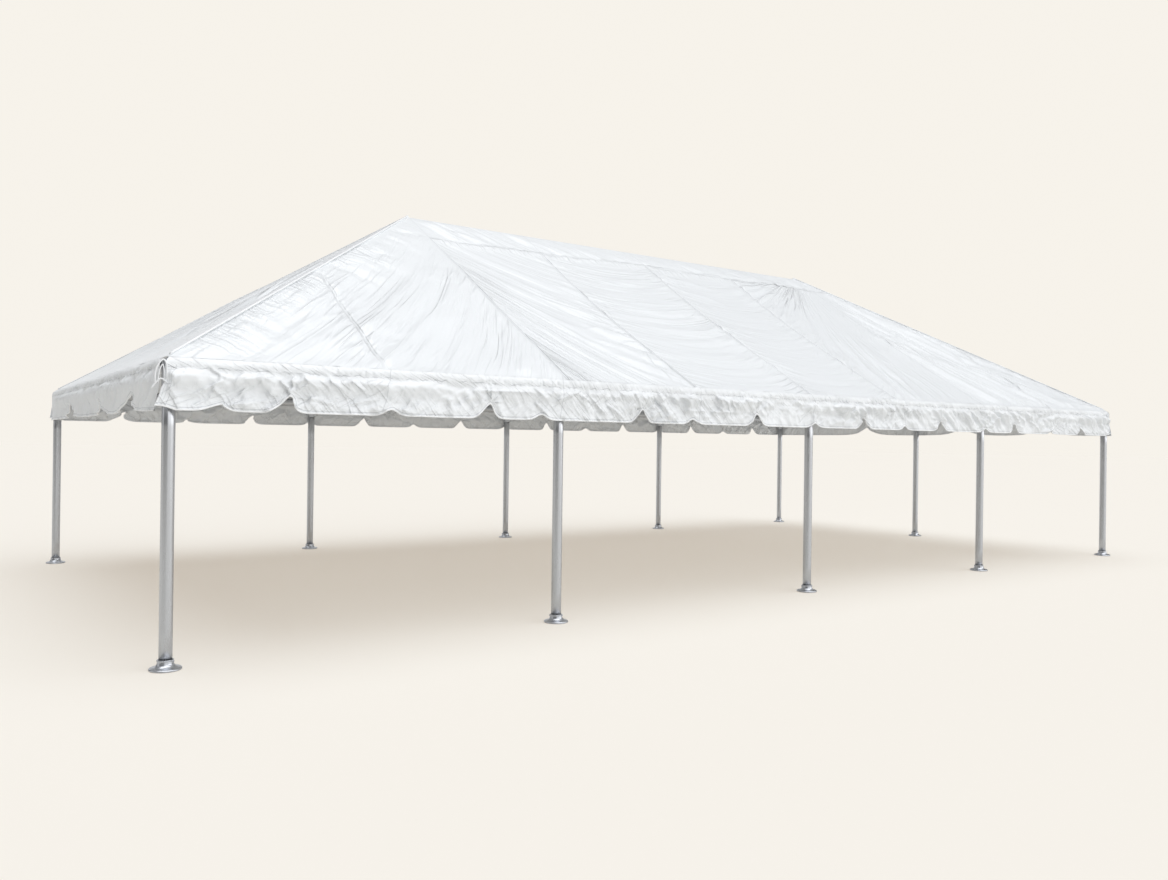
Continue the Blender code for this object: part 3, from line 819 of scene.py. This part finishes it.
def crumple(u, w, notches, lean, s):
    """How far the hanging strip stands out. u runs along the eave and w down from the rail."""
    free = fade(w, 0.01, 0.05)
    out = 0.008 * noise(u / 0.42, w / 0.35 + 3, s + 1) * fade(w, 0.02, 0.22)
    out += 0.7 * free * uneven(0.35, 1.1, -0.1, u / 0.8, w / 0.5, s + 2) * facets(u, w, 0.16, s + 30)
    out += 1.4 * free * uneven(0.4, 0.7, 0, u / 0.6 + 4, w * 4, s + 11) * facets(u + 5, w, 0.075, s + 40)

    # Folds that slant with the pull of the cover, folds across them, and folds along the rail
    slant = (u - lean * w) / math.sqrt(2)
    share = uneven(0.35, 1.3, -0.1, u / 0.7 + 3, w / 0.5, s + 13) * (1 - 0.6 * fade(w, 0.10, 0.22))
    out += 1.9 * free * share * pleats(slant, w, 0.050, 0.16, s + 3)
    crossing = (u + 1.4 * lean * w) / math.hypot(1, 1.4)
    share = uneven(0.2, 1.2, -0.1, u / 0.5 + 7, w / 0.4, s + 4)
    out += 0.9 * free * share * pleats(crossing, w, 0.07, 0.2, s + 5)
    out += free * share * pleats(w + 0.15 * noise(u / 0.5, 0, s + 6), u, 0.05, 0.5, s + 7)

    # The stitched line under the rail with its short gathers, and the ledge that it leaves
    dashes = uneven(0.35, 1.1, -0.3, u / 0.09, 0, s + 14)
    stitched = bell(w - 0.020 - 0.006 * noise(u / 0.12, 0, s + 15), 0.011)
    out += stitched * dashes * (1.6 * pleats(u - 0.8 * lean * w, w, 0.028, 0.08, s + 8) - 0.0060)
    step = 0.078 + 0.012 * noise(u / 0.4, 0, s + 9)
    ledge = uneven(0.5, 0.9, -0.3, u / 0.8, 3, s + 10)
    out += 0.006 * ledge * (fade(w, 0.02, 0.05) - fade(w, step, step + 0.012))
    swell = uneven(0.55, 0.9, -0.4, u / 0.55, 5, s + 16) * np.where(u * lean < -3.9, 2.2, 1.0)
    out += 0.017 * swell * (fade(w, 0.020, 0.075) - fade(w, 0.075, 0.18) + 0.5 * fade(w, 0.18, 0.27))

    # Short folds that run out from the tip of each notch
    for x, depth in notches:
        above_tip = w - (RAIL_Z - HEM - depth)
        r = np.hypot(u - x, above_tip) + 1e-6
        rays = noise(np.arctan2(above_tip, u - x) * 1.7 + x * 3, r * 4, s + 12)
        star = np.maximum(1 - 2.6 * np.abs(rays), 0)
        out += 0.012 * (depth / DEEP) * star * fade(r, 0.005, 0.05) * (1 - fade(r, 0.10, 0.22))
    return out


def hang_folds(u, w, lean, s):
    """The loose hanging of the end strips: soft folds that run nearly straight down."""
    free = fade(w, 0.01, 0.06)
    slant = u - 0.9 * lean * w * (1 - 0.8 * w)
    out = 0.008 * free + 0.30 * free * pleats(slant, w, 0.24, 1.2, s + 1)
    out += 1.3 * free * pleats(slant + 2, w, 0.07, 0.6, s + 2) * (0.6 + 0.5 * noise(u / 0.6, w * 2, s + 3))
    out += 0.3 * free * facets(u, w, 0.10, s + 40)
    out += 0.012 * (fade(w, 0.02, 0.10) - fade(w, 0.10, 0.20))
    return out + bell(w - 0.018, 0.014) * (1.2 * pleats(u, w, 0.03, 0.08, s + 5) - 0.003)


def notch_rise(u, notches, reach, sharpness):
    rise = np.zeros_like(u)
    for x, depth in notches:
        rise = np.maximum(rise, depth * np.exp(-((np.abs(u - x) / reach) ** sharpness)))
    return rise


skirt, tree, shader = new_finish("skirt_vinyl", SKIRT_WHITE, 0.32)
laid = read_layer(tree, "skirt")
seam_line = add_range(tree, add_math(tree, "PINGPONG", laid["X"], PANEL / 2), 0.002, 0.005, 0.35, 0.0)
hem_line = thin_line(tree, laid["Z"], 0.016, 0.001, 0.004, 0.55)
# A dark line along the stitching under the rail, broken into dashes about 10 cm long: partly the stitch line,
# partly painted shade of the short gathers below it.
wavy = add_node(tree, "TexNoise", {"W": laid["X"], "Scale": 14, "Detail": 2}, noise_dimensions="1D")
wander = add_math(tree, "MULTIPLY_ADD", wavy.outputs["Fac"], 0.030, 0.003)
dashes_of_shade = add_node(tree, "TexNoise", {"W": laid["X"], "Scale": 9}, noise_dimensions="1D")
stitch_and_gather_shade = add_math(
    tree, "MULTIPLY", thin_line(tree, laid["Y"], wander, 0.001, 0.006, 0.55),
    add_range(tree, dashes_of_shade.outputs["Fac"], 0.42, 0.58, 0.05, 1.0))
lines = add_math(tree, "MAXIMUM", add_math(tree, "MAXIMUM", seam_line, hem_line), stitch_and_gather_shade)

# The sewn-on patch at each end of a long strip: its edge, two rows of stitches and two cross rows
ends = read_layer(tree, "patch")
patch_line = thin_line(tree, ends["X"], PATCH, 0.001, 0.004, 0.5)
for distance in (0.018, 0.040):
    stitches = thin_line(tree, ends["X"], distance, 0.001, 0.004, 0.30)
    patch_line = add_math(tree, "MAXIMUM", patch_line, stitches)
on_patch = add_range(tree, ends["X"], PATCH, PATCH + 0.002, 1.0, 0.0)
for drop in (0.035, 0.128):
    stitches = add_math(tree, "MULTIPLY", thin_line(tree, ends["Y"], drop, 0.001, 0.005, 0.45), on_patch)
    patch_line = add_math(tree, "MAXIMUM", patch_line, stitches)
patch_line = add_math(tree, "MULTIPLY", patch_line, ends["Z"])
draw_lines(tree, shader, add_math(tree, "MAXIMUM", lines, patch_line), SKIRT_WHITE)

# Its relief: small wrinkles, flat plates between creases, and layers that follow the folds
flat = add_node(tree, "CombineXYZ", {"X": laid["X"], "Y": laid["Y"]}).outputs["Vector"]
wrinkle = add_node(tree, "TexNoise", {"Vector": flat, "Scale": 30, "Detail": 2, "Distortion": 0.8})
height_sum = add_math(tree, "MULTIPLY", wrinkle.outputs["Fac"], 0.5)
for scale, turn, share in (((3, 8), 0.7, 0.40), ((7, 14), -0.8, 0.15)):
    turned = add_node(
        tree, "Mapping", {"Vector": flat, "Rotation": (0, 0, turn), "Scale": (1 / scale[0], 1 / scale[1], 1)},
        vector_type="TEXTURE")
    plates = add_node(
        tree, "TexVoronoi", {"Vector": turned.outputs["Vector"], "Scale": 1.0}, feature="DISTANCE_TO_EDGE")
    height_sum = add_math(tree, "MULTIPLY_ADD", plates.outputs["Distance"], -share, height_sum)
height_sum = add_math(tree, "MULTIPLY", height_sum, 0.6)
for layer, scale, share in (("gathers", (26, 5), 1.0), ("slants", (20, 4), 1.1), ("crossing", (16, 4), 1.0)):
    height_sum = add_math(tree, "MULTIPLY_ADD", fold_relief(tree, layer, scale, 1.0), share, height_sum)
raise_relief(tree, shader, height_sum, SKIRT_RELIEF)
binding = new_finish("hem_binding", BINDING_WHITE, 0.35)[0]

# The sharpest creases of the front strip: start and stop, as distance along the eave and drop;
# all are straight, 10 mm wide and 16 mm high
CREASE_SIZE = (0.0, 0.010, 0.016)
FRONT_CREASES = (
    (-5.91, 0.2, -5.67, 0.067), (-5.78, 0.129, -5.68, 0.246), (-5.57, 0.134, -5.68, 0.246),
    (-5.65, 0.25, -5.3, 0.2), (-5.27, 0.033, -5.27, 0.196), (-5.36, 0.071, -5.27, 0.152),
    (-5.16, 0.094, -5.26, 0.152), (-5.21, 0.022, -5.06, 0.138), (-5.04, 0.027, -4.89, 0.138),
    (-4.89, 0.022, -4.71, 0.156), (-5.17, 0.167, -4.9, 0.241), (-5.51, 0.022, -5.38, 0.1),
    (-5.82, 0.022, -5.69, 0.078), (-4.85, 0.223, -4.61, 0.167), (-3.72, 0.02, -3.72, 0.17),
    (-3.35, 0.02, -3.19, 0.14), (-3.33, 0.14, -3.14, 0.27), (-3.12, 0.14, -2.94, 0.06),
    (-2.76, 0.13, -2.93, 0.06), (-2.78, 0.09, -2.56, 0.265), (-2.61, 0.14, -2.37, 0.275),
    (-2.33, 0.02, -2.21, 0.18), (-3.9, 0.08, -3.33, 0.075), (-2.13, 0.05, -1.99, 0.22),
    (-1.8, 0.17, -0.9, 0.172), (-0.8, 0.03, -0.8, 0.16), (0.4, 0.03, 0.7, 0.23), (1.3, 0.04, 1.1, 0.22),
    (2.0, 0.03, 2.2, 0.24), (2.5, 0.03, 2.75, 0.25), (3.4, 0.04, 3.1, 0.24), (3.9, 0.03, 4.25, 0.25),
    (4.9, 0.04, 4.6, 0.25), (5.3, 0.03, 5.65, 0.24))
FRONT_DEEP = (-5.27, -3.72, -2.20, -0.80, 0.79, 2.15, 3.68, 5.25)
FRONT_SHALLOW = (-5.71, -4.51, -3.23, -1.60, 0.03, 1.50, 3.05, 4.55)
END_SHARES = (0.16, 0.375, 0.67)
front_notches = [(x, DEEP) for x in FRONT_DEEP] + [(x, SHALLOW) for x in FRONT_SHALLOW]
back_notches = [((k + 0.5) * PANEL, DEEP) for k in range(-4, 4)]
back_notches += [(k * PANEL, SHALLOW) for k in range(-3, 4)]
left_notches = [(HALF_WIDTH - share * 2 * HALF_WIDTH, END_DEEP) for share in END_SHARES]
right_notches = [(share * 2 * HALF_WIDTH - HALF_WIDTH, END_DEEP) for share in END_SHARES]
# Each strip: half its length, its columns, notches, lean of the folds, their gain and seed, then
# which way its own length and its outer face point
STRIPS = {
    "front": (HALF_LENGTH, 1524, front_notches, 1, 1.15, 1000, (1, 0), (0, -1)),
    "back": (HALF_LENGTH, 1270, back_notches, -1, 1.45, 1100, (-1, 0), (0, 1)),
    "left": (HALF_WIDTH, 635, left_notches, -1, 1.45, 1200, (0, -1), (-1, 0)),
    "right": (HALF_WIDTH, 635, right_notches, 1, 1.45, 1300, (0, 1), (1, 0))}
arc = np.linspace(ARC_TURN, 0, ARC_ROWS + 1)
first_arc = len(SLOPE_ROWS)
last_arc = first_arc + ARC_ROWS
rows = last_arc + DROP_ROWS
for side, (half, columns, notches, lean, gain, seed, along_way, out_way) in STRIPS.items():
    long_side = side in ("front", "back")
    shape = bmesh.new()
    bmesh.ops.create_grid(
        shape, x_segments=columns, y_segments=rows, size=0.5, matrix=Matrix.Diagonal((columns, rows, 1, 1)))
    for vert in shape.verts:
        vert.co.x = round(vert.co.x + columns / 2)
        vert.co.y = round(rows / 2 - vert.co.y)
    strip_mesh = mesh_of("valance_" + side + "_cloth", shape)
    place = read_all(strip_mesh.vertices, "co", 3)

    # The strip without its folds: up the slope, over the rail, and down to the hem
    column = place[:, 0] / columns * 2 - 1
    row = np.round(place[:, 1]).astype(int)
    u = column * half
    from_end = half - np.abs(u)
    on_slope = row < first_arc
    on_arc = (row >= first_arc) * (row <= last_arc)
    hangs = row > last_arc
    angle = arc[np.clip(row - first_arc, 0, ARC_ROWS)]
    up_slope = SLOPE_ROWS[np.clip(row, 0, first_arc - 1)]
    hem = HEM + notch_rise(u, notches, *(LONG_NOTCH if long_side else END_NOTCH))
    if long_side:
        hem = hem + HEM_LIFT * (1 - fade(from_end, 0.03, 0.16))
    w = np.where(hangs, np.clip((row - last_arc) / DROP_ROWS, 0, 1) * (RAIL_Z - hem), 0)
    parts = [on_slope, on_arc]
    inset = np.select(parts, [up_slope, RAIL_IN - ROLL_RADIUS * np.cos(angle)], RAIL_IN - ROLL_RADIUS)
    on_cover = EAVE + FALL * up_slope - (RAIL_IN - ROLL_RADIUS) / COS
    height = np.select(parts, [on_cover, RAIL_Z + ROLL_RADIUS * np.sin(angle)], RAIL_Z - w)

    # The folds of the hanging part, which stop where the rail and the legs are behind it
    if long_side:
        corner = fade(from_end, 0.0, 0.10)
        folds_out = crumple(u, w, notches, lean, seed)
        leg_gap = np.minimum(to_nearest(u, APEX), from_end - RAIL_IN)
    else:
        corner = fade(from_end, 0.05, np.where(u > 0, 0.35, 1.20))
        folds_out = hang_folds(u, w, lean, seed)
        leg_gap = np.minimum(np.abs(u), np.abs(from_end - RAIL_IN))
    if side == "front":
        for one_crease in FRONT_CREASES:
            folds_out += crease(u, w, *one_crease, *CREASE_SIZE)
    out = np.where(hangs, (gain * folds_out + 0.010 * fade(w, 0.02, 0.08)) * corner, 0)
    deepest = 0.004 + 0.014 * fade(leg_gap, 0.06, 0.16) * fade(w, 0.04, 0.10)
    out = hold_off(out, deepest)

    # The fine gathers on the roll, which fade on the slope and below the rail
    round_on = u + 0.25 * noise(u / 0.5, 0, seed + 22)
    fine = 0.75 * pleats(round_on, height, 0.042, 0.10, seed + 20)
    fine = fine + 0.5 * pleats(u, height, 0.018, 0.10, seed + 23)
    fine = fine * corner * (0.25 + 0.75 * fade(noise(u / 0.25, 0, seed + 21), -0.3, 0.4))
    over = np.sin((ARC_TURN - angle) / ARC_TURN * math.pi / 2)
    out = out + fine * np.select(
        parts, [0.35 * row / first_arc, 0.35 + 0.65 * over], 1 - fade(w, 0.0, 0.02))
    if long_side:
        out = out + np.where(hangs, PATCH_THICK * (1 - fade(from_end, PATCH, PATCH + 0.008)), 0)
    inset = inset - out * np.select(parts, [0, np.cos(angle)], 1)
    height = height + np.select(parts, [np.maximum(out, 0), out * np.sin(angle)], 0)

    # The gap at the corners, which opens towards the hem
    lower = fade(w, 0.10, 0.30)
    if long_side:
        gap = 0.020 * (1 - fade(w, 0.10, 0.16)) - np.where(u < 0, 0.050, 0.020) * fade(w, 0.13, 0.32)
        gap = np.where(on_slope, 0, gap) * fade(inset, 0.060, 0.040)
    else:
        gap = np.where((u > 0) * (side == "left"), 0.070 * ~on_slope + 0.160 * lower, 0.004 - 0.03 * lower)
    along = column * (half - inset - gap)
    away = (HALF_WIDTH if long_side else HALF_LENGTH) - inset
    place[:, :2] = np.outer(along, along_way) + np.outer(away, out_way)
    place[:, 2] = height
    strip_mesh.vertices.foreach_set("co", place.ravel())

    # What the finish reads: the place on the cloth, the patches and the finer relief
    below_rail = RAIL_Z - height
    corners = read_all(strip_mesh.loops, "vertex_index", kind=int)
    cloth_map = strip_mesh.uv_layers.new(name="cloth")
    cloth_map.data.foreach_set("uv", np.stack([u[corners], (height - hem)[corners]], axis=1).ravel())
    hanging = np.where(hangs, fade(w, 0.03, 0.06), 0)
    over_roll = (0.5 * u + 0.9 * np.maximum(u + 3, 0)) * lean * 0.8 - 0.8 * below_rail
    rolled = 0.45 + 0.55 * fade(noise(u / 0.25, 0, seed + 26), -0.3, 0.4)
    slanted = (u - (1.0 if long_side else 0.45) * lean * w) * 0.7
    slant_share = fade(noise(u / 0.7, w / 0.3, seed + 24), -0.3, 0.5)
    cross_share = fade(noise(u / 0.6 + 5, w / 0.25, seed + 25), -0.2, 0.5)
    keep_layer(strip_mesh, "skirt", (u, below_rail, height - hem))
    keep_layer(strip_mesh, "patch", (from_end if long_side else np.ones_like(u), w, hangs * 1.0))
    keep_layer(strip_mesh, "gathers", (over_roll, u, rolled * (1 - fade(w, 0.02, 0.07))))
    keep_layer(strip_mesh, "slants", (slanted, w, hanging * slant_share))
    keep_layer(strip_mesh, "crossing", ((u + 1.4 * lean * w) * 0.58, w, hanging * cross_share))
    strip_mesh.update()
    strip = add_piece("valance_" + side + "_cloth", strip_mesh, skirt)
    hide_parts("valance_" + side)

    # The piping that binds the hem
    at_hem = row == rows
    line = place[at_hem][np.argsort(u[at_hem])]
    curve = bpy.data.curves.new("hem_" + side, "CURVE")
    curve.dimensions = "3D"
    curve.bevel_depth = HEM_RADIUS
    curve.bevel_resolution = 1
    spline = curve.splines.new("POLY")
    spline.points.add(len(line) - 1)
    spline.points.foreach_set("co", np.hstack([line, np.ones((len(line), 1))]).ravel())
    rope = bpy.data.objects.new("hem_curve_" + side, curve)
    bpy.context.collection.objects.link(rope)
    bpy.context.view_layer.update()
    piping_mesh = bpy.data.meshes.new_from_object(rope.evaluated_get(bpy.context.evaluated_depsgraph_get()))
    bpy.data.objects.remove(rope)
    piping_mesh.materials.clear()
    piping = add_piece("hem_" + side, piping_mesh, binding, smooth=False)

# Corner loops and straps
# At each corner the ends of two valances are rolled into a loop of cloth under the hip and drawn
# together by a strap of webbing; below it the end valance hangs a little open.
LOOP = (
    (-0.038, 1.815), (-0.043, 1.860), (-0.036, 1.915), (-0.014, 1.962), (0.006, 1.981), (0.022, 1.970),
    (0.028, 1.920), (0.028, 1.845))
INNER = ((-0.022, 1.828), (-0.022, 1.880), (-0.006, 1.940), (0.006, 1.950), (0.013, 1.905), (0.011, 1.838))
STRAP = ((-0.060, 1.794), (-0.040, 1.824), (-0.012, 1.860), (0.008, 1.852), (0.030, 1.828))
# Each strip of cloth: its path, how deep and how thick it is
CORNER_STRIPS = {
    "corner_loop_": (LOOP, 0.045, 0.0095), "corner_fold_": (INNER, 0.045, 0.0070),
    "corner_strap_": (STRAP, 0.020, 0.0090)}
STRIP_FRONT = 0.006
STRIP_WAY = (0.17, 0.98)
NEAR_CORNER_IN = 0.002
CORNER_IN = 0.060


def bent_strip(name, path, depth, thick, start, turn, material):
    """A strip of cloth bent along a path of across and height, and as deep as its width."""
    outward = Vector((math.cos(turn), math.sin(turn), 0))
    across = Vector((-math.sin(turn), math.cos(turn), 0))
    shape = bmesh.new()
    lines = []
    for x, z in path:
        lines.append([
            shape.verts.new(Vector((*start, z)) + x * across + outward * (STRIP_FRONT - depth * k / 3))
            for k in range(4)])
    for one, two in zip(lines, lines[1:]):
        for k in range(3):
            shape.faces.new((one[k], one[k + 1], two[k + 1], two[k]))
    piece = add_piece(name, mesh_of(name, shape), material)
    rounding = piece.modifiers.new("smooth", "SUBSURF")
    rounding.levels = 2
    rounding.render_levels = 2
    solid = piece.modifiers.new("thick", "SOLIDIFY")
    solid.thickness = thick
    solid.offset = 0


for end, side, corner_name in CORNERS:
    from_end = NEAR_CORNER_IN if corner_name == "front_left" else CORNER_IN
    start = (end * (HALF_LENGTH - from_end), side * (HALF_WIDTH - NEAR_CORNER_IN))
    turn = math.atan2(side * STRIP_WAY[1], end * STRIP_WAY[0])
    for name, (path, depth, thick) in CORNER_STRIPS.items():
        mirrored = [(end * side * x, z) for x, z in path]
        bent_strip(name + corner_name, mirrored, depth, thick, start, turn, welt_vinyl)
